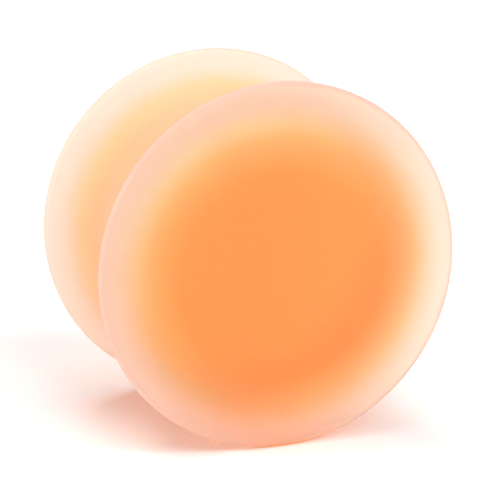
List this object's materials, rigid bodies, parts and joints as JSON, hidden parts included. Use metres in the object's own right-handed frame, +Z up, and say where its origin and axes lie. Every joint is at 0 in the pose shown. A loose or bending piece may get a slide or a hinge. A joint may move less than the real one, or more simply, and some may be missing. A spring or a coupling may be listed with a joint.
{
  "type": "double-flared ear plug",
  "caption": "Solid silicone ear plug with a straight barrel and a flat-faced, round-lipped flare at each end, worn in a stretched earlobe.",
  "frame": {"origin": "on the surface that the plug lies on, under the middle of its barrel", "axes": "+Y along the plug's axis, from the front face towards the rear face, and +Z up, away from the surface that it lies on"},
  "size_m": [0.0208, 0.0132, 0.0208],
  "materials": {
    "silicone": "translucent satin silicone, deep orange through its thick middle and pale at the thin lips of the flares"
  },
  "bodies": {
    "root": {"plug": "silicone"}
  },
  "joints": []
}
